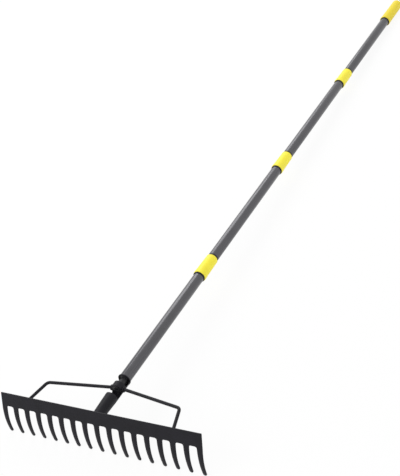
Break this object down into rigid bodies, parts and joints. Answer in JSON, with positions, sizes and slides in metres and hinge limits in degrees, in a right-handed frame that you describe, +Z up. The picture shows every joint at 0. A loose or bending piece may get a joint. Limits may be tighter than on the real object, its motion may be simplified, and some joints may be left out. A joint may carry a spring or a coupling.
{
  "type": "garden rake",
  "caption": "Long-handled garden rake: pressed steel head with curved tines, two brace rods, and a tube handle that unscrews into sections at yellow couplers.",
  "frame": {"origin": "centre of the bounding box at floor level, with the rake lying on its tine tips and on the end of its cap", "axes": "+X along the head to the rake's right, +Y along the handle from the head to the cap, +Z up"},
  "size_m": [0.43, 1.599, 0.079],
  "materials": {
    "black_coat": "satin powder coat",
    "black_weld": "satin powder coat over a weld bead",
    "grey_steel": "satin grey",
    "yellow_plastic": "smooth moulded",
    "black_nylon": "moulded",
    "washer_rubber": "matte"
  },
  "bodies": {
    "head": {"head_plate": "black_coat", "socket_sleeve": "black_coat", "spigot": "black_nylon", "brace_rod_left": "black_coat", "brace_rod_right": "black_coat", "plate_weld_left": "black_weld", "plate_weld_right": "black_weld", "sleeve_weld_left": "black_weld", "sleeve_weld_right": "black_weld", "foot_weld_left": "black_weld", "foot_weld_right": "black_weld", "tube_1": "grey_steel", "coupler_1": "yellow_plastic", "coupler_ring_1": "washer_rubber"},
    "washer_ring_1": {"washer_1": "washer_rubber"},
    "section_2": {"threaded_plug_1": "black_nylon", "tube_2": "grey_steel", "coupler_2": "yellow_plastic", "coupler_ring_2": "washer_rubber"},
    "washer_ring_2": {"washer_2": "washer_rubber"},
    "section_3": {"threaded_plug_2": "black_nylon", "tube_3": "grey_steel", "coupler_3": "yellow_plastic", "coupler_ring_3": "washer_rubber"},
    "washer_ring_3": {"washer_3": "washer_rubber"},
    "section_4": {"threaded_plug_3": "black_nylon", "tube_4": "grey_steel", "end_cap": "yellow_plastic", "cap_ring": "washer_rubber"}
  },
  "joints": [
    {"name": "joint_1_lift", "type": "slide", "parent": "head", "child": "washer_ring_1", "axis": [0, 0.9994, -0.0336], "range_m": [0, 0.0126]},
    {"name": "joint_1_unscrew", "type": "hinge", "parent": "washer_ring_1", "child": "section_2", "pos_m": [0, -0.3895, 0.05266], "axis": [0, 0.9994, -0.0336], "range_deg": [0, 900]},
    {"name": "joint_2_lift", "type": "slide", "parent": "section_2", "child": "washer_ring_2", "axis": [0, 0.9994, -0.0336], "range_m": [0, 0.0126]},
    {"name": "joint_2_unscrew", "type": "hinge", "parent": "washer_ring_2", "child": "section_3", "pos_m": [0, -0.01351, 0.04], "axis": [0, 0.9994, -0.0336], "range_deg": [0, 900]},
    {"name": "joint_3_lift", "type": "slide", "parent": "section_3", "child": "washer_ring_3", "axis": [0, 0.9994, -0.0336], "range_m": [0, 0.0126]},
    {"name": "joint_3_unscrew", "type": "hinge", "parent": "washer_ring_3", "child": "section_4", "pos_m": [0, 0.36248, 0.02734], "axis": [0, 0.9994, -0.0336], "range_deg": [0, 900]}
  ],
  "couplings": [
    {"joint": "joint_1_lift", "follows": "joint_1_unscrew", "m_per_rad": 0.00079577},
    {"joint": "joint_2_lift", "follows": "joint_2_unscrew", "m_per_rad": 0.00079577},
    {"joint": "joint_3_lift", "follows": "joint_3_unscrew", "m_per_rad": 0.00079577}
  ]
}
